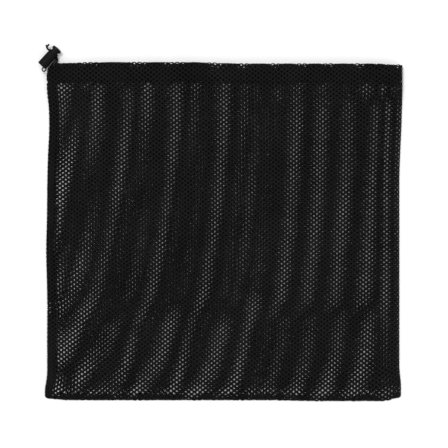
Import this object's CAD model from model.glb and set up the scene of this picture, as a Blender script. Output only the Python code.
"""Looks of the mesh laundry bag: knitted net walls, hem and seams, stitching, drawstring and cord lock.

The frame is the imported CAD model: the bag lies on its back wall, its mouth towards +Y and +Z up.
Cloth is worked out in millimetres in its own sheet coordinates (x across, y along, on either wall)
and is turned into metres when its mesh is made.
"""
import math

import bpy
import numpy as np
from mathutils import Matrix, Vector


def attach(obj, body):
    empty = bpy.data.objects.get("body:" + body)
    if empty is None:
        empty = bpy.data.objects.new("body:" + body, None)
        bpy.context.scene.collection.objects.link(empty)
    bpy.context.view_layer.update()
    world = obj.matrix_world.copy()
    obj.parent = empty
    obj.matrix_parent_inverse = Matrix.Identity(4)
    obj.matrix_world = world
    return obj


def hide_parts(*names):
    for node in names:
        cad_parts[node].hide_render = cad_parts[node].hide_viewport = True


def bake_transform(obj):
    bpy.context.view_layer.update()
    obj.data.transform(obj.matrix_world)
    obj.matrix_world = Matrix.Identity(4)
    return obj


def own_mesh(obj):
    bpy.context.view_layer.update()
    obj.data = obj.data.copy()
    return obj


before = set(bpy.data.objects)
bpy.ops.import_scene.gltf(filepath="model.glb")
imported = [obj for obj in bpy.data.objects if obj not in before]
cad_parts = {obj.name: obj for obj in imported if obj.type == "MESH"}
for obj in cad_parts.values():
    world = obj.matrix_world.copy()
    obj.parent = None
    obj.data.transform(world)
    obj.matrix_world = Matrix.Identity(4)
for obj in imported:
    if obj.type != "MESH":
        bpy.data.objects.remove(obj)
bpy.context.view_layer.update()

MM = 0.001

# Bag, in millimetres
HALF_WIDTH = 228.8
HALF_LENGTH = 219.0
LOFT = 14.6  # middle of the front wall's cloth at its highest
SIDE_SEAM_WIDTH = 11.7
BOTTOM_SEAM_WIDTH = 6.0
HEM_DEPTH = 26.0
HEM_BOTTOM = HALF_LENGTH - HEM_DEPTH
EDGE_INSET = 0.3  # from the outline to the middle of the cloth that turns round it
SIDE_RISE_RUN = 70.0
RISE_POWER = 2.2
BACK_HEIGHT = 0.45  # middle of the back cloth above the floor
SEAM_TOP_HEIGHT = 2.05  # middle of the front cloth at the seams

# Drawstring channel
HEM_HALF_GAP = 1.55  # half the distance between its two layers, beside the cord
HEM_TURN = 0.5  # radius at the mouth's folded edge
SEAM_TURN = 0.26  # radius where the cloth turns inside at a seam
HEM_MIDDLE = 13.0
HEM_AT_SEAM = 7.0
HEM_AT_FOLD = 11.6
HEM_BEND_RUN = 70.0
HEM_LEVEL_RUN = 13.0
FOLD_START = 222.0
HEM_RISE_RUN = 40.0  # length over which a wall changes its height to meet the hem

# Fold at the right side, in the body and in the hem
FOLD_RADIUS_BODY = 1.5
FOLD_RADIUS_HEM = 6.35
FOLD_RUN_BODY = 45.0
BACK_FOLD_AT = HALF_WIDTH + 0.86  # where the fold would lie with the back cloth pulled flat
FRONT_FOLD_AT = HALF_WIDTH + 3.89

# Net: rows of round holes in columns, each column half a hole lower than the next
COLUMN = 3.777
ROW = 5.668
HOLE_RADIUS = 1.27
STRAND_HALF = 0.30
BACK_SHEAR = -0.1135  # how the rows run off square, on the back and on the front
FRONT_SHEAR = -0.0605

# Irregularity of the holes, as shares of their radius and in millimetres
SIZE_SPREAD = 0.045
ROUNDNESS_SPREAD = 0.035
PLACE_SPREAD = 0.06

# Stitches: length and pitch along a row
STITCH_PITCH = 3.0
STITCH_LENGTH = 2.3
STITCH_DIP = 0.45
STITCH_WANDER = 0.12
THREAD_RADIUS = 0.22

# Corner of the hem at the lock, by distance across the barrel
SLIT_ACROSS = 15.67
SLIT_HALF = 1.9
SLIT_ABOVE = 9.0
CUT_ACROSS = 13.8
GATHER_OVER = 9.0
GATHER_INTO = 6.0
GATHER_FROM = CUT_ACROSS + GATHER_INTO - GATHER_OVER
BESIDE_LOCK = 30.0  # how far below the lock's foot the hem still makes room for it

# Cord and lock, in metres
CORD_DIAMETER = 0.0022
BRAID_STRANDS = 4  # pairs of crossing strands round the cord
BRAID_PITCH = 0.0034
BRAID_RELIEF = 0.06
BRAID_SHARE = 0.94  # of the cord's radius, to the middle of the relief
HAIRPIN = [(-0.2256, 0.2096), (-0.2242, 0.2132), (-0.2215, 0.2170)]
SWING_CLEARANCE = 0.00075
BACK_CORD_HEIGHT = 0.0020
FOLD_CORD_MIDDLE = (0.2220, 0.2059)
FOLD_CORD_TURN = 0.0048
LOCK_CORNER = Vector((-0.2405, 0.2197, 0.0))
LOCK_ANGLE = math.radians(47.7)
LOCK_AXIS_HEIGHT = 0.0085
BARREL_RADIUS = 0.0067
CORD_CROSSING = 0.0216
U = Vector((math.cos(LOCK_ANGLE), math.sin(LOCK_ANGLE), 0.0))
V = Vector((math.sin(LOCK_ANGLE), -math.cos(LOCK_ANGLE), 0.0))
UP = Vector((0.0, 0.0, 1.0))
SWING_PIVOT = LOCK_CORNER + U * 0.01547 + V * 0.01567

# Spring in the barrel, in metres: the ends are along the barrel from its foot
SPRING_LOW, SPRING_HIGH = 0.00265, 0.01155
SPRING_RADIUS = 0.0036
SPRING_WIRE = 0.0007
SPRING_TURNS = 6

rng = np.random.default_rng(7)


# ---------------------------------------------------------------- camera, light, floor

def make_camera():
    data = bpy.data.cameras.new("camera")
    data.lens = 100.0
    data.sensor_width = 36.0
    made = bpy.data.objects.new("camera", data)
    bpy.context.scene.collection.objects.link(made)
    made.location = (0.0013, 0.00975, 1.626)
    made.rotation_euler = (0.0, 0.0, 0.0)
    bpy.context.scene.camera = made


def area_light(name, place, aim, size, power):
    data = bpy.data.lights.new(name, "AREA")
    data.shape = "RECTANGLE"
    data.size, data.size_y = size
    data.energy = power
    made = bpy.data.objects.new(name, data)
    bpy.context.scene.collection.objects.link(made)
    made.location = place
    turn = (Vector(aim) - Vector(place)).to_track_quat("-Z", "Y")
    made.rotation_euler = turn.to_euler()
    return made


def make_light():
    world = bpy.data.worlds.new("studio")
    bpy.context.scene.world = world
    world.use_nodes = True
    back = world.node_tree.nodes["Background"]
    back.inputs["Color"].default_value = (1.0, 1.0, 1.0, 1.0)
    back.inputs["Strength"].default_value = 0.80
    area_light("key", (-0.55, 0.75, 2.3), (0.0, 0.0, 0.0), (0.45, 0.45), 26.0)
    area_light("side", (1.4, -1.0, 1.5), (0.0, 0.0, 0.0), (0.8, 0.8), 6.0)
    bpy.context.scene.view_settings.view_transform = "Standard"


# ---------------------------------------------------------------- materials

def new_material(name):
    made = bpy.data.materials.new(name)
    made.use_nodes = True
    nodes, links = made.node_tree.nodes, made.node_tree.links
    shader = nodes["Principled BSDF"]
    where = nodes.new("ShaderNodeTexCoord")
    return made, nodes, links, shader, where.outputs["Object"]


def noise(nodes, links, where, scale, detail=3.0, rough=0.55):
    made = nodes.new("ShaderNodeTexNoise")
    made.inputs["Scale"].default_value = scale
    made.inputs["Detail"].default_value = detail
    made.inputs["Roughness"].default_value = rough
    links.new(where, made.inputs["Vector"])
    return made.outputs["Fac"]


def ramp(nodes, links, source, low, high, start=0.3, end=0.7):
    made = nodes.new("ShaderNodeValToRGB")
    made.color_ramp.elements[0].position = start
    made.color_ramp.elements[1].position = end
    made.color_ramp.elements[0].color = (*low, 1.0)
    made.color_ramp.elements[1].color = (*high, 1.0)
    links.new(source, made.inputs["Fac"])
    return made.outputs["Color"]


def spread(nodes, links, source, low, high):
    made = nodes.new("ShaderNodeMapRange")
    made.inputs["To Min"].default_value = low
    made.inputs["To Max"].default_value = high
    links.new(source, made.inputs["Value"])
    return made.outputs["Result"]


def bump(nodes, links, height, strength, distance, under=None):
    made = nodes.new("ShaderNodeBump")
    made.inputs["Strength"].default_value = strength
    made.inputs["Distance"].default_value = distance
    links.new(height, made.inputs["Height"])
    if under is not None:
        links.new(under, made.inputs["Normal"])
    return made.outputs["Normal"]


def cloth_material(name, low, high, loop_scale, gloss):
    """Filament yarn: small raised loops, fine fibres, and dye that is uneven over a few centimetres."""
    made, nodes, links, shader, where = new_material(name)
    loops = nodes.new("ShaderNodeTexVoronoi")
    loops.feature = "SMOOTH_F1"
    loops.inputs["Scale"].default_value = loop_scale
    loops.inputs["Smoothness"].default_value = 0.6
    links.new(where, loops.inputs["Vector"])
    fibre = noise(nodes, links, where, loop_scale * 4.0, 2.0)
    cloud = noise(nodes, links, where, 24.0, 4.0)
    blend = nodes.new("ShaderNodeMath")
    blend.operation = "MULTIPLY_ADD"
    blend.inputs[1].default_value = 0.5
    links.new(cloud, blend.inputs[0])
    half = spread(nodes, links, fibre, 0.0, 0.5)
    links.new(half, blend.inputs[2])
    links.new(ramp(nodes, links, blend.outputs[0], low, high), shader.inputs["Base Color"])
    links.new(spread(nodes, links, cloud, gloss - 0.06, gloss + 0.08), shader.inputs["Roughness"])
    first = bump(nodes, links, loops.outputs["Distance"], 0.6, 0.0003)
    links.new(bump(nodes, links, fibre, 0.35, 0.0001, first), shader.inputs["Normal"])
    shader.inputs["Specular IOR Level"].default_value = 0.04
    shader.inputs["Sheen Weight"].default_value = 0.006
    shader.inputs["Sheen Roughness"].default_value = 0.5
    return made


def plastic_material(name, low, high, gloss, speck_scale, level):
    """Moulded plastic: faint flow marks, fine texture, and edges rubbed a little paler."""
    made, nodes, links, shader, where = new_material(name)
    flow = noise(nodes, links, where, 260.0, 4.0, 0.6)
    speck = noise(nodes, links, where, speck_scale, 2.0)
    geometry = nodes.new("ShaderNodeNewGeometry")
    edge = ramp(nodes, links, geometry.outputs["Pointiness"], (0.0,) * 3, (1.0,) * 3, 0.50, 0.56)
    worn = nodes.new("ShaderNodeMath")
    worn.operation = "MULTIPLY_ADD"
    worn.inputs[1].default_value = 0.5
    links.new(edge, worn.inputs[0])
    links.new(spread(nodes, links, flow, 0.0, 0.6), worn.inputs[2])
    links.new(ramp(nodes, links, worn.outputs[0], low, high, 0.15, 0.95), shader.inputs["Base Color"])
    links.new(spread(nodes, links, speck, gloss - 0.05, gloss + 0.07), shader.inputs["Roughness"])
    first = bump(nodes, links, flow, 0.12, 0.0002)
    links.new(bump(nodes, links, speck, 0.10, 0.00005, first), shader.inputs["Normal"])
    shader.inputs["Specular IOR Level"].default_value = level
    return made


def steel_material():
    made, nodes, links, shader, where = new_material("spring_steel")
    drawn = noise(nodes, links, where, 3000.0, 3.0)
    links.new(ramp(nodes, links, drawn, (0.34, 0.34, 0.35), (0.58, 0.58, 0.60)),
              shader.inputs["Base Color"])
    links.new(spread(nodes, links, drawn, 0.25, 0.42), shader.inputs["Roughness"])
    links.new(bump(nodes, links, drawn, 0.2, 0.00005), shader.inputs["Normal"])
    shader.inputs["Metallic"].default_value = 1.0
    return made


def floor_material():
    made, _, _, shader, _ = new_material("floor_white")
    shader.inputs["Base Color"].default_value = (0.90, 0.90, 0.90, 1.0)
    shader.inputs["Roughness"].default_value = 0.9
    shader.inputs["Specular IOR Level"].default_value = 0.0
    return made


# ---------------------------------------------------------------- meshes

def mesh_object(name, verts, faces, material):
    """A smooth mesh from arrays of metres and of quads or triangles."""
    data = bpy.data.meshes.new(name)
    data.from_pydata(np.asarray(verts).tolist(), [], [list(map(int, f)) for f in faces])
    data.update()
    data.shade_smooth()
    data.materials.append(material)
    made = bpy.data.objects.new(name, data)
    bpy.context.scene.collection.objects.link(made)
    return made


def smooth(value):
    t = np.clip(value, 0.0, 1.0)
    return t * t * (3.0 - 2.0 * t)


# ---------------------------------------------------------------- cord

def smooth_route(points, step):
    """Evenly spaced points along a Catmull-Rom curve through the route."""
    ends = [points[0] * 2 - points[1]] + list(points) + [points[-1] * 2 - points[-2]]
    fine = []
    for a, b, c, d in zip(ends, ends[1:], ends[2:], ends[3:]):
        for i in range(40):
            t = i / 40
            fine.append(0.5 * (2 * b + (c - a) * t + (2 * a - 5 * b + 4 * c - d) * t ** 2
                               + (3 * b - a - 3 * c + d) * t ** 3))
    fine.append(points[-1])
    line = np.array([tuple(p) for p in fine])
    along = np.concatenate([[0.0], np.cumsum(np.linalg.norm(np.diff(line, axis=0), axis=1))])
    count = max(int(along[-1] / step), 2)
    at = np.linspace(0.0, along[-1], count + 1)
    return np.stack([np.interp(at, along, line[:, i]) for i in range(3)], 1)


def frames_along(line):
    """Tangent and two normals at each point, carried along without twisting."""
    tangent = np.gradient(line, axis=0)
    tangent /= np.linalg.norm(tangent, axis=1, keepdims=True)
    first = np.cross(tangent[0], (0.0, 0.0, 1.0))
    first /= np.linalg.norm(first)
    sides = [first]
    for t in tangent[1:]:
        n = sides[-1] - t * np.dot(sides[-1], t)
        sides.append(n / np.linalg.norm(n))
    side = np.array(sides)
    return tangent, side, np.cross(tangent, side)


def round_mesh(line, radius, sides):
    """Vertices and faces of a tube. radius is an array of one value for each ring and side."""
    _, first, second = frames_along(line)
    angle = np.linspace(0.0, 2 * math.pi, sides, endpoint=False)
    ring = (first[:, None, :] * np.cos(angle)[None, :, None]
            + second[:, None, :] * np.sin(angle)[None, :, None])
    points = (line[:, None, :] + ring * radius[:, :, None]).reshape(-1, 3)
    faces = []
    for i in range(len(line) - 1):
        for k in range(sides):
            n = (k + 1) % sides
            faces.append((i * sides + k, i * sides + n, (i + 1) * sides + n, (i + 1) * sides + k))
    last = (len(line) - 1) * sides
    faces.append(tuple(reversed(range(sides))))
    faces.append(tuple(range(last, last + sides)))
    return points, faces


def braided_cord(name, points, step, sides, material):
    """A round braid: two sets of strands that cross, each standing proud where it lies on top."""
    line = smooth_route(points, step)
    along = np.concatenate([[0.0], np.cumsum(np.linalg.norm(np.diff(line, axis=0), axis=1))])
    angle = np.linspace(0.0, 2 * math.pi, sides, endpoint=False)
    turn = 2 * math.pi * along[:, None] / BRAID_PITCH
    relief = np.cos(BRAID_STRANDS * angle[None] + turn) * np.cos(BRAID_STRANDS * angle[None] - turn)
    end = np.minimum(along, along[-1] - along)[:, None]
    taper = 0.86 + 0.14 * smooth(end / 0.0007)
    radius = CORD_DIAMETER / 2 * (BRAID_SHARE + BRAID_RELIEF * relief) * taper
    verts, faces = round_mesh(line, radius, sides)
    return mesh_object(name, verts, faces, material), line


def in_lock(along, across, height):
    """A point by its distance along the barrel and across it from the lock's outer corner."""
    return LOCK_CORNER + U * along + V * across + UP * height


def channel_points():
    """The cord inside the channel, from one hairpin at the slit, round the fold, to the other."""
    front = [(-0.2256, 0.2096), (-0.2244, 0.2063),
             (-0.2210, 0.2049), (-0.2120, 0.2053), (-0.1900, 0.2072), (-0.1500, 0.2095),
             (-0.1050, 0.2090), (-0.0550, 0.2060), (-0.0050, 0.2045), (0.0450, 0.2062),
             (0.0950, 0.2092), (0.1400, 0.2098), (0.1800, 0.2076), (0.2080, 0.2060)]
    back = [(0.2060, 0.2058), (0.1750, 0.2040), (0.1350, 0.2022), (0.0900, 0.2020),
            (0.0400, 0.2046), (-0.0100, 0.2078), (-0.0600, 0.2086), (-0.1100, 0.2060),
            (-0.1550, 0.2034), (-0.1900, 0.2036), (-0.2120, 0.2046), (-0.2210, 0.2049),
            (-0.2244, 0.2063), (-0.2256, 0.2096)]
    route = [Vector((x, y, float(front_hem_height(x / MM)) * MM)) for x, y in front]
    middle, y = FOLD_CORD_MIDDLE
    for i in range(7):
        angle = math.pi / 2 - math.pi * i / 6
        route.append(Vector((middle + FOLD_CORD_TURN * math.cos(angle), y,
                             BACK_CORD_HEIGHT + FOLD_CORD_TURN + FOLD_CORD_TURN * math.sin(angle))))
    route += [Vector((x, y, BACK_CORD_HEIGHT)) for x, y in back]
    return route


def end_points(leaves_at, crosses_at, tip_side):
    """One free end: out of the channel, along the barrel, through its slot, and up to the cut tip."""
    first = (SWING_PIVOT - LOCK_CORNER).dot(U) + SWING_CLEARANCE
    beside = (SWING_PIVOT - LOCK_CORNER).dot(V)
    climb = crosses_at - leaves_at
    side = 0.0011 * tip_side
    hidden = [Vector((x, y, leaves_at)) - V * side * share
              for (x, y), share in zip(HAIRPIN, (0.0, 0.3, 0.8))]
    return hidden + [in_lock(first, beside - side * 0.8, leaves_at),
                     in_lock(first + 0.0016, beside - side * 0.8, leaves_at + climb * 0.25),
                     in_lock(first + 0.0034, beside - 0.0007 - side * 0.6, leaves_at + climb * 0.66),
                     in_lock(first + 0.0048, beside - 0.0024 - side * 0.3, leaves_at + climb * 0.94),
                     in_lock(CORD_CROSSING - 0.0001, beside - 0.0044, crosses_at),
                     in_lock(CORD_CROSSING, 0.0080, crosses_at),
                     in_lock(CORD_CROSSING, 0.0040, crosses_at),
                     in_lock(CORD_CROSSING, 0.0000, crosses_at),
                     in_lock(CORD_CROSSING, -0.0032, crosses_at),
                     in_lock(CORD_CROSSING + 0.0014 + side * 0.6, -0.0050 + side * 0.2, crosses_at),
                     in_lock(CORD_CROSSING + 0.0042 + side * 1.4, -0.0064 + side * 1.2, crosses_at)]


def make_cords():
    braid = cloth_material("braided_cord", (0.0012, 0.0012, 0.0013), (0.0050, 0.0050, 0.0053),
                           5200.0, 0.55)
    half = CORD_DIAMETER / 2 + 0.00005
    ends = (("drawstring_end_front_braid", "drawstring_end_front",
             HEM_AT_SEAM * MM, LOCK_AXIS_HEIGHT + half, 1),
            ("drawstring_end_back_braid", "drawstring_end_back",
             BACK_CORD_HEIGHT, LOCK_AXIS_HEIGHT - half, -1))
    for name, node, leaves_at, crosses_at, tip_side in ends:
        made, line = braided_cord(name, end_points(leaves_at, crosses_at, tip_side), 0.00022, 24,
                                  braid)
        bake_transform(made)
        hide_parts(node)
    made, _ = braided_cord("drawstring_in_channel", channel_points(), 0.00042, 16, braid)
    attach(made, "bag")
    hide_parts("drawstring")


def make_spring():
    """The coil under the button's stem, with its end turns closer. It shortens as the button goes in."""
    share = np.linspace(0.0, 1.0, SPRING_TURNS * 28 + 1)
    angle = 2 * math.pi * SPRING_TURNS * share
    along = SPRING_LOW + (SPRING_HIGH - SPRING_LOW) * (share - 0.05 * np.sin(2 * math.pi * share))
    line = np.array([tuple(in_lock(a, BARREL_RADIUS - SPRING_RADIUS * math.cos(turn),
                                   LOCK_AXIS_HEIGHT + SPRING_RADIUS * math.sin(turn)))
                     for a, turn in zip(along, angle)])
    verts, faces = round_mesh(line, np.full((len(line), 10), SPRING_WIRE / 2), 10)
    coil = mesh_object("spring_coil", verts, faces, steel_material())
    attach(coil, "cord_lock")
    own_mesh(coil)
    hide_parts("cord_lock_spring")


# ---------------------------------------------------------------- how the cloth lies

def hem_share(y):
    """0 in the body of the bag, 1 in the hem."""
    return smooth((y - HEM_BOTTOM + HEM_RISE_RUN) / HEM_RISE_RUN)


def front_hem_height(x):
    """Middle of the front channel."""
    from_seam = smooth((x + HALF_WIDTH - HEM_LEVEL_RUN) / HEM_BEND_RUN)
    to_fold = smooth((x - FOLD_START + HEM_BEND_RUN) / HEM_BEND_RUN)
    return (HEM_AT_SEAM + (HEM_MIDDLE - HEM_AT_SEAM) * from_seam
            - (HEM_MIDDLE - HEM_AT_FOLD) * to_fold)


def rise(reach, run):
    return 1.0 - (1.0 - np.clip(reach / run, 0.0, 1.0)) ** RISE_POWER


def ripple(x, y):
    """Soft unevenness of the upper wall, from -1 to 1."""
    return (0.6 * np.sin(x / 31.0 + y / 57.0) * np.cos(y / 43.0 - 0.7)
            + 0.4 * np.sin(x / 19.0 - y / 24.0))


def front_level(x, y):
    """Height of the front cloth away from the fold."""
    inside = (smooth((HALF_WIDTH - x) / 60.0) * smooth((x + HALF_WIDTH) / 60.0)
              * smooth((y + HALF_LENGTH) / 60.0))
    wall = SEAM_TOP_HEIGHT + (LOFT - SEAM_TOP_HEIGHT) * (
        rise(x + HALF_WIDTH, SIDE_RISE_RUN) * rise(y + HALF_LENGTH, SIDE_RISE_RUN))
    wall = wall + (0.45 * ripple(x, y) - 0.45) * inside
    hem = front_hem_height(x) + HEM_HALF_GAP
    share = hem_share(y)
    return wall * (1.0 - share) + hem * share


def back_level(x, y):
    wave = 0.5 + 0.5 * np.sin(x / 27.0 - y / 41.0) * np.cos(y / 33.0)
    inside = (smooth((HALF_WIDTH - x) / 40.0) * smooth((x + HALF_WIDTH) / 40.0)
              * smooth((y + HALF_LENGTH) / 40.0) * smooth((HEM_BOTTOM - y) / 40.0))
    return BACK_HEIGHT + 0.5 * wave * inside


def fold_radius(y):
    return FOLD_RADIUS_BODY + (FOLD_RADIUS_HEM - FOLD_RADIUS_BODY) * hem_share(y)


def fold_table(levels=9, samples=160):
    """Distance in plan from the fold's edge, for a distance along the front cloth, at several shares."""
    rows = []
    reach = np.linspace(0.0, 90.0, 361)
    for share in np.linspace(0.0, 1.0, levels):
        run = FOLD_RUN_BODY + (FOLD_RADIUS_HEM - FOLD_RUN_BODY) * share
        low = BACK_HEIGHT + FOLD_RADIUS_BODY + (FOLD_RADIUS_HEM - FOLD_RADIUS_BODY) * share
        high = LOFT + (HEM_AT_FOLD + HEM_HALF_GAP - LOFT) * share
        angle = np.linspace(0.0, math.pi / 2, samples)
        d = run * (1.0 - np.cos(angle))
        z = (high - low) * np.sin(angle)
        along = np.concatenate([[0.0], np.cumsum(np.hypot(np.diff(d), np.diff(z)))])
        rows.append(np.where(reach < along[-1], np.interp(reach, along, d), run + reach - along[-1]))
    return reach, np.array(rows)


FOLD_REACH, FOLD_ROWS = fold_table()


def from_fold(q, share):
    """Plan distance from the fold's edge at cloth distance q, for each share of the hem's shape."""
    place = share * (len(FOLD_ROWS) - 1)
    lower = np.minimum(place.astype(int), len(FOLD_ROWS) - 2)
    part = place - lower
    out = np.zeros_like(q)
    for i in range(len(FOLD_ROWS) - 1):
        here = lower == i
        if here.any():
            a = np.interp(q[here], FOLD_REACH, FOLD_ROWS[i])
            b = np.interp(q[here], FOLD_REACH, FOLD_ROWS[i + 1])
            out[here] = a * (1 - part[here]) + b * part[here]
    far = q > FOLD_REACH[-1]
    last = FOLD_ROWS[:, -1]
    shift = np.interp(share, np.linspace(0, 1, len(last)), last) - FOLD_REACH[-1]
    return np.where(far, q + shift, out)


def surface(q, y):
    """Middle of the outer cloth. q is the distance along it from the fold: above 0 on the back."""
    q, y = np.asarray(q, float), np.asarray(y, float)
    edge = HALF_WIDTH - EDGE_INSET
    share = hem_share(y)
    radius = fold_radius(y)
    centre = BACK_HEIGHT + radius
    angle = np.clip(q, 0.0, None) / radius
    turning = angle < math.pi / 2
    fade = 1.0 - smooth((q - radius * math.pi / 2) / 80.0)
    slack = (math.pi / 2 - 1.0) * (FOLD_RADIUS_BODY + (radius - FOLD_RADIUS_BODY) * fade)
    back_x = np.where(turning, edge - radius * (1.0 - np.cos(angle)), edge - q + slack)
    back_z = np.where(turning, centre - radius * np.sin(np.minimum(angle, math.pi / 2)),
                      back_level(back_x, y))
    reach = from_fold(np.clip(-q, 0.0, None), share)
    front_x = edge - reach
    run = FOLD_RUN_BODY + (FOLD_RADIUS_HEM - FOLD_RUN_BODY) * share
    climb = np.sqrt(np.clip(1.0 - (1.0 - np.clip(reach / run, 0.0, 1.0)) ** 2, 0.0, 1.0))
    front_z = centre + (front_level(front_x, y) - centre) * climb
    on_back = q > 0.0
    return np.stack([np.where(on_back, back_x, front_x), y, np.where(on_back, back_z, front_z)], -1)


def settle(points):
    """The bag's outline isn't quite a rectangle: its edges wander by a few millimetres."""
    x, y = points[:, 0], points[:, 1]
    left = -0.6 + 2.6 * np.exp(-((y - 140.0) / 45.0) ** 2) - 1.2 * np.exp(-((y + 25.0) / 35.0) ** 2)
    left = left - 3.0 * smooth((-y - 185.0) / 25.0)
    right = 1.4 + 3.4 * smooth((y - 60.0) / 110.0) + 2.2 * smooth((-y - 175.0) / 30.0)
    top = 0.6 - 1.8 * smooth((x + 50.0) / 80.0) - 1.4 * smooth((x - 195.0) / 25.0)
    foot = (-1.4 - 1.1 * smooth((x - 60.0) / 60.0) + 4.2 * smooth((x - 205.0) / 22.0)
            + 2.0 * smooth((-x - 200.0) / 25.0))
    near_left = smooth((-x - HALF_WIDTH + 70.0) / 70.0)
    near_right = smooth((x - HALF_WIDTH + 70.0) / 70.0)
    near_top = smooth((y - HALF_LENGTH + 70.0) / 70.0)
    near_foot = smooth((-y - HALF_LENGTH + 70.0) / 70.0)
    lock_side = 1.0 - near_left * near_top
    out = points.copy()
    out[:, 0] += left * near_left + right * near_right
    out[:, 1] += top * near_top * lock_side + foot * near_foot
    return out


def round_corner(points, corner_x, corner_y, size):
    """Pulls the two bottom corners in from a square to a round."""
    sx, sy = np.sign(corner_x), np.sign(corner_y)
    dx = (points[:, 0] - (corner_x - sx * size)) * sx
    dy = (points[:, 1] - (corner_y - sy * size)) * sy
    inside = (dx > 0) & (dy > 0)
    longest = np.maximum(dx, dy)
    length = np.hypot(dx, dy)
    scale = np.where(inside, longest / np.maximum(length, 1e-6), 1.0)
    out = points.copy()
    out[:, 0] = np.where(inside, corner_x - sx * size + sx * dx * scale, points[:, 0])
    out[:, 1] = np.where(inside, corner_y - sy * size + sy * dy * scale, points[:, 1])
    return out


def turn_in(distance, radius):
    """A cloth that turns inside round an edge. distance is above 0 on the outer layer."""
    angle = np.clip(distance / radius, -math.pi / 2, math.pi / 2)
    past = np.maximum(np.abs(distance) - radius * math.pi / 2, 0.0)
    return radius * (1.0 - np.cos(angle)) + past, radius * (1.0 - np.sin(angle)), angle


def cloth(on_back, x, y, lift):
    """Points of the bag's cloth, in millimetres. lift is the distance from its middle, outwards."""
    flat_at = np.where(on_back, BACK_FOLD_AT, FRONT_FOLD_AT)
    in_side, depth_side, turn_side = turn_in(x + HALF_WIDTH, SEAM_TURN)
    in_foot, depth_foot, turn_foot = turn_in(y + HALF_LENGTH, SEAM_TURN)
    in_top, depth_top, turn_top = turn_in(HALF_LENGTH - y, HEM_TURN)
    below_mouth = np.abs(HALF_LENGTH - y)
    open_by = smooth((below_mouth - 1.0) / 6.0) * smooth((HEM_DEPTH - 0.5 - below_mouth) / 6.0)
    inner = np.where(y > HALF_LENGTH, 2.0 * (HEM_HALF_GAP - HEM_TURN) * open_by, 0.0)
    plan_x = np.where(x < 0, -HALF_WIDTH + in_side, x)
    plan_y = np.where(y < 0, -HALF_LENGTH + in_foot, HALF_LENGTH - in_top)
    away = flat_at - plan_x
    q = np.where(on_back, away, -away)
    point = surface(q, plan_y)
    step = 0.05
    across = surface(q + step, plan_y) - surface(q - step, plan_y)
    along = surface(q, plan_y + step) - surface(q, plan_y - step)
    normal = np.cross(across, along)
    normal /= np.linalg.norm(normal, axis=1, keepdims=True)
    depth = depth_side + depth_foot + depth_top + inner
    point = point - normal * depth[:, None]
    facing = np.sin(turn_side) * np.sin(turn_foot) * np.sin(turn_top)
    point = point + normal * (lift * facing)[:, None]
    point[:, 0] -= lift * np.cos(turn_side)
    point[:, 1] += lift * (np.cos(turn_top) - np.cos(turn_foot))
    point = round_corner(point, -HALF_WIDTH, -HALF_LENGTH, 5.0)
    point = round_corner(point, HALF_WIDTH, -HALF_LENGTH, 4.0)
    return settle(point)


# How far each wall's net lies off an even grid: terms 1, u, v, uu, uv, vv, uuu, uuv, uvv, vvv,
# with u across and v along, each from -1 to 1, in millimetres.
BACK_PULL_X = (0.3, 1.3, 0.6, -0.1, 2.1, -1.5, -0.1, -1.7, 1.2, 0.2)
BACK_PULL_Y = (0.1, -1.0, 3.0, 3.2, -1.6, -0.3, 2.3, 1.5, 1.7, 2.9)
FRONT_PULL_X = (0.3, -0.2, 0.3, -0.1, 1.5, 0.0, 0.1, 0.2, -2.8, 0.5)
FRONT_PULL_Y = (-2.8, -0.4, -3.7, 3.3, 2.3, 1.8, -0.9, 0.3, -0.3, 2.6)
FOLD_FADE = 45.0  # the two walls are one cloth, so they agree at the fold

# The hem's gathers leave slow waves in the back wall, each pulling its net a little down and across.
WAVE_STEP = 33.0  # from a wave's foot to its crest
WAVE_CREST_X, WAVE_CREST_Y = 1.7, -1.5
WAVE_START = -16.5
WAVE_LEAN = 0.131
LAST_WAVE = 2.9  # the last one is as wide as this many steps
WAVE_BREAK = -100.0  # below here crests follow on from feet
WAVE_BREAK_RUN = 62.0


def pull(terms, x, y):
    u, v = np.clip(x / HALF_WIDTH, -1.05, 1.05), np.clip(y / HALF_LENGTH, -1.05, 1.05)
    powers = (1.0, u, v, u * u, u * v, v * v, u ** 3, u * u * v, u * v * v, v ** 3)
    return sum(k * p for k, p in zip(terms, powers))


def wave(x, y):
    """How high on a wave a place in the back wall lies, from 0 to 1."""
    steps = (x - WAVE_START - WAVE_LEAN * y) / WAVE_STEP
    steps = np.where(steps < 0.0, steps, np.minimum(steps * 2.0 / LAST_WAVE, 2.0))
    steps = steps + smooth((WAVE_BREAK - y) / WAVE_BREAK_RUN + 0.5)
    return (1.0 - np.cos(math.pi * steps)) / 2.0


def sheet_place(e, row):
    """Sheet coordinates of a place in the net: e from the fold, above 0 on the back; row down."""
    on_back = e > 0.0
    size = np.abs(e)
    drop = row * ROW + np.where(on_back, BACK_SHEAR, FRONT_SHEAR) * e
    x = np.where(on_back, BACK_FOLD_AT, FRONT_FOLD_AT) - size
    y = HALF_LENGTH - drop
    share = smooth(size / FOLD_FADE)
    both = 0.5 * (pull(BACK_PULL_Y, HALF_WIDTH, y) + pull(FRONT_PULL_Y, HALF_WIDTH, y))
    height = wave(x, y)
    moved_x = np.where(on_back, pull(BACK_PULL_X, x, y) + WAVE_CREST_X * height,
                       pull(FRONT_PULL_X, x, y))
    moved_y = np.where(on_back, pull(BACK_PULL_Y, x, y) + WAVE_CREST_Y * height,
                       pull(FRONT_PULL_Y, x, y))
    return on_back, x + moved_x * share, y + moved_y * share + both * (1.0 - share)


# ---------------------------------------------------------------- net

def cell_outline():
    """A hole's share of the net: six corners and four points between, in columns and rows."""
    ratio = ROW / COLUMN
    far = 0.5 + ratio * ratio / 8.0
    near = 0.5 - ratio * ratio / 8.0
    top = [(far, 0.0), (0.5, 0.25), (near, 0.5), (-near, 0.5), (-0.5, 0.25)]
    return np.array(top + [(-x, -y) for x, y in top])


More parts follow.
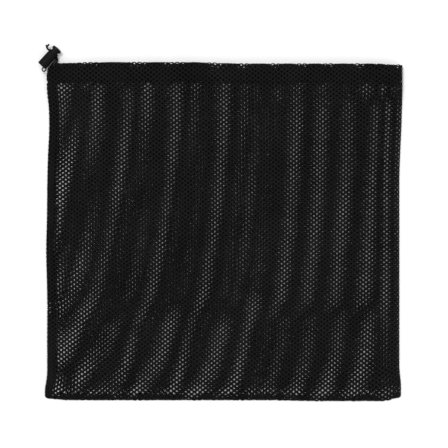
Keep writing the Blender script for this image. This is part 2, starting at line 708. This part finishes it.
def net_cells():
    """Column number from the fold and row of every hole on both walls, with its sheet coordinates."""
    columns = np.arange(-130, 130)
    rows = np.arange(-18, 102)
    column, row = (g.ravel() for g in np.meshgrid(columns, rows, indexing="ij"))
    e = (column + 0.5) * COLUMN
    fine_row = row + 0.5 * (column % 2)
    on_back, x, y = sheet_place(e, fine_row)
    return column, fine_row, on_back, x, y


def near_lock(x, y):
    """Distances of plan points, in millimetres, across and along the lock's barrel."""
    dx, dy = x - LOCK_CORNER.x / MM, y - LOCK_CORNER.y / MM
    return dx * V.x + dy * V.y, dx * U.x + dy * U.y


def clear_of_lock(points):
    """Gathers the hem's corner so that it ends in a straight edge along the barrel."""
    across, along = near_lock(points[:, 0], points[:, 1])
    close = (along > -BESIDE_LOCK) & (along < 60.0) & (across > -20.0)
    reach = across - GATHER_FROM
    wanted = CUT_ACROSS + np.maximum(reach, 0.0) * GATHER_INTO / GATHER_OVER
    push = np.where(close & (reach < GATHER_OVER), wanted - across, 0.0)
    points[:, 0] += push * V.x
    points[:, 1] += push * V.y
    return points


def hole_size(x, y):
    """How far the net is stretched open: more beside the side and bottom seams, and uneven elsewhere."""
    beside = 0.24 * np.exp(-((x + HALF_WIDTH - 16.5) / 5.0) ** 2)
    above = 0.28 * np.exp(-((y + HALF_LENGTH - 11.0) / 6.0) ** 2)
    mouth = 0.34 * np.exp(-((np.abs(y - HALF_LENGTH) - 2.4) / 2.2) ** 2)
    uneven = np.sin(x / 23.0 + 0.8 * np.sin(y / 61.0)) * np.cos(y / 90.0 + x / 140.0)
    return 1.0 + np.maximum(np.maximum(beside, above), mouth) + 0.04 * uneven


def make_net(name, chosen, cells, material):
    """Net over the chosen cells: strands of lens-shaped section round each hole, closed at its edges."""
    column, row = cells[0][chosen], cells[1][chosen]
    count = len(column)
    outline = cell_outline()
    sides = len(outline)
    at_column = column[:, None] + 0.5 + outline[None, :, 0]
    at_row = row[:, None] + outline[None, :, 1]
    key = np.stack([np.round(at_column * 20).astype(int).ravel(),
                    np.round(at_row * 4).astype(int).ravel()], 1)
    _, first, index = np.unique(key, axis=0, return_index=True, return_inverse=True)
    index = index.reshape(count, sides)
    rim_column, rim_row = at_column.ravel()[first], at_row.ravel()[first]
    jitter = np.random.default_rng(11)
    turn = np.arctan2(outline[:, 1] * ROW, outline[:, 0] * COLUMN)
    radius = HOLE_RADIUS * hole_size(cells[3][chosen], cells[4][chosen])
    radius = radius * (1.0 + SIZE_SPREAD * jitter.standard_normal(count))
    squeeze = 1.0 + ROUNDNESS_SPREAD * jitter.standard_normal(count)
    shift = PLACE_SPREAD * jitter.standard_normal((count, 2))
    hole_column = column[:, None] + 0.5 + (radius[:, None] * squeeze[:, None] * np.cos(turn)
                                           + shift[:, :1]) / COLUMN
    hole_row = row[:, None] + (radius[:, None] * np.sin(turn) + shift[:, 1:]) / ROW
    rims = len(rim_column)
    lattice_column = np.concatenate([rim_column, rim_column, hole_column.ravel()])
    lattice_row = np.concatenate([rim_row, rim_row, hole_row.ravel()])
    lift = np.concatenate([np.full(rims, STRAND_HALF), np.full(rims, -STRAND_HALF),
                           np.zeros(count * sides)])
    on_back, x, y = sheet_place(lattice_column * COLUMN, lattice_row)
    points = clear_of_lock(cloth(on_back, x, y, lift))
    hole = (2 * rims + np.arange(count * sides)).reshape(count, sides)
    nxt = np.roll(np.arange(sides), -1)
    outer = np.stack([index, index[:, nxt], hole[:, nxt], hole], -1).reshape(-1, 4)
    inner = np.stack([index + rims, hole, hole[:, nxt], index[:, nxt] + rims], -1).reshape(-1, 4)
    edges = np.stack([index, index[:, nxt]], -1).reshape(-1, 2)
    ordered = np.sort(edges, axis=1)
    _, where, times = np.unique(ordered, axis=0, return_index=True, return_counts=True)
    open_edges = edges[where[times == 1]]
    border = np.stack([open_edges[:, 1], open_edges[:, 0],
                       open_edges[:, 0] + rims, open_edges[:, 1] + rims], -1)
    return mesh_object(name, points * MM, np.concatenate([outer, inner, border]), material)


def stitch_row(name, on_back, start, end, lift, material):
    """Separate stitches along a line in sheet coordinates, lift above the cloth's middle."""
    verts, faces, used = [], [], 0
    start, end = np.array(start, float), np.array(end, float)
    length = np.linalg.norm(end - start)
    unit = (end - start) / length
    share = np.array([0.0, 0.18, 0.5, 0.82, 1.0])
    dip = np.array([-STITCH_DIP, 0.0, 0.06, 0.0, -STITCH_DIP])
    for i in range(int(length / STITCH_PITCH)):
        at = start + unit * (i * STITCH_PITCH) + STITCH_WANDER * rng.standard_normal(2)
        places = at[None] + unit[None] * (share * STITCH_LENGTH)[:, None]
        line = cloth(np.full(5, on_back), places[:, 0], places[:, 1], lift + dip)
        points, quads = round_mesh(line, np.full((5, 6), THREAD_RADIUS), 6)
        verts.append(points * MM)
        faces += [tuple(v + used for v in f) for f in quads]
        used += len(points)
    return mesh_object(name, np.concatenate(verts), faces, material)


def make_stitching():
    thread = cloth_material("sewing_thread", (0.0020, 0.0020, 0.0021), (0.0075, 0.0075, 0.0079),
                            7000.0, 0.42)
    side_x = -HALF_WIDTH + SIDE_SEAM_WIDTH - 2.0
    foot_y = -HALF_LENGTH + BOTTOM_SEAM_WIDTH - 2.0
    hem_y = HEM_BOTTOM + 2.0
    left, right = -HALF_WIDTH + 16.0, HALF_WIDTH - 12.0
    over = STRAND_HALF + THREAD_RADIUS * 0.6
    turned_y = 2 * HALF_LENGTH - hem_y
    rows = (("front_hem_stitches", "front_hem_thread", False, (left, hem_y), (right, hem_y), over),
            ("back_hem_stitches", "back_hem_thread", True, (left, turned_y), (right, turned_y), -over),
            ("side_seam_stitches", "side_seam_thread",
             False, (side_x, -HALF_LENGTH + 8.0), (side_x, HEM_BOTTOM - 2.0), over),
            ("bottom_seam_stitches", "bottom_seam_thread",
             False, (left, foot_y), (right, foot_y), over))
    for name, node, on_back, start, end, lift in rows:
        made = stitch_row(name, on_back, start, end, lift, thread)
        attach(made, "bag")
        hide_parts(node)


def make_cloth():
    """The six pieces of net, each over its own share of the holes."""
    net = cloth_material("net_cloth", (0.0034, 0.0034, 0.0036), (0.0126, 0.0126, 0.0131), 2600.0, 0.62)
    dark, pale = (0.0031, 0.0031, 0.0033), (0.0118, 0.0118, 0.0122)
    hem_cloth = cloth_material("hem_cloth", dark, pale, 2600.0, 0.62)
    seam_cloth = cloth_material("seam_cloth", dark, pale, 2600.0, 0.66)
    cells = net_cells()
    on_back, x, y = cells[2:]
    in_bag = (x > -HALF_WIDTH - SIDE_SEAM_WIDTH) & (y > -HALF_LENGTH - BOTTOM_SEAM_WIDTH)
    hem_zone = (y > HEM_BOTTOM) & (y < HALF_LENGTH + HEM_DEPTH - 1.0)
    across, along = near_lock(x, np.where(y > HALF_LENGTH, 2 * HALF_LENGTH - y, y))
    cut = (across < GATHER_FROM + 1.0) & (along > -BESIDE_LOCK)
    slit = (np.abs(across - SLIT_ACROSS) < SLIT_HALF) & (along > SLIT_ABOVE)
    hem = in_bag & hem_zone & (x > -HALF_WIDTH + 0.8) & ~cut & ~slit
    below_hem = in_bag & (y <= HEM_BOTTOM)
    side = below_hem & (x < -HALF_WIDTH + SIDE_SEAM_WIDTH)
    foot = in_bag & (x >= -HALF_WIDTH + SIDE_SEAM_WIDTH) & (y < -HALF_LENGTH + BOTTOM_SEAM_WIDTH)
    wall = below_hem & ~side & ~foot
    for name, chosen, node, slot, finish, flat, held, under in (
            ("net_back", wall & on_back, "back_wall", "net_cloth", net,
             (0.447, 0.406), "laid", "floor"),
            ("net_front", wall & ~on_back, "front_wall", "net_cloth", net,
             (0.450, 0.406), "laid", "net_back"),
            ("hem_back_net", hem & on_back, "back_hem", "hem_cloth", hem_cloth,
             (0.459, 0.051), "folded", "floor"),
            ("hem_front_net", hem & ~on_back, "front_hem", "hem_cloth", hem_cloth,
             (0.462, 0.051), "folded", "hem_back_net"),
            ("side_seam_net", side, "side_seam", "seam_cloth", seam_cloth,
             (0.412, 0.047), "folded", "floor"),
            ("bottom_seam_net", foot, "bottom_seam", "seam_cloth", seam_cloth,
             (0.449, 0.024), "folded", "floor")):
        made = make_net(name, chosen, cells, finish)
        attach(made, "bag")
        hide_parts(node)


def make_floor():
    reach, below = 8.0, -0.00005
    points = [(-reach, -reach, below), (reach, -reach, below), (reach, reach, below),
              (-reach, reach, below)]
    mesh_object("floor", points, [(0, 1, 2, 3)], floor_material())


def finish_lock():
    """Materials for the lock's two rigid parts, which are the CAD's own."""
    plastic = plastic_material("lock_plastic", (0.0014, 0.0014, 0.0015), (0.0066, 0.0066, 0.0070),
                               0.42, 9000.0, 0.04)
    button = plastic_material("button_plastic", (0.0008, 0.0008, 0.0009), (0.0026, 0.0026, 0.0028),
                              0.14, 9000.0, 0.10)
    for node, finish in (("cord_lock_body", plastic), ("cord_lock_plunger", button)):
        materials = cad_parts[node].data.materials
        for i in range(len(materials)):
            materials[i] = finish


make_camera()
make_light()
make_cords()
make_cloth()
make_stitching()
make_spring()
make_floor()
finish_lock()
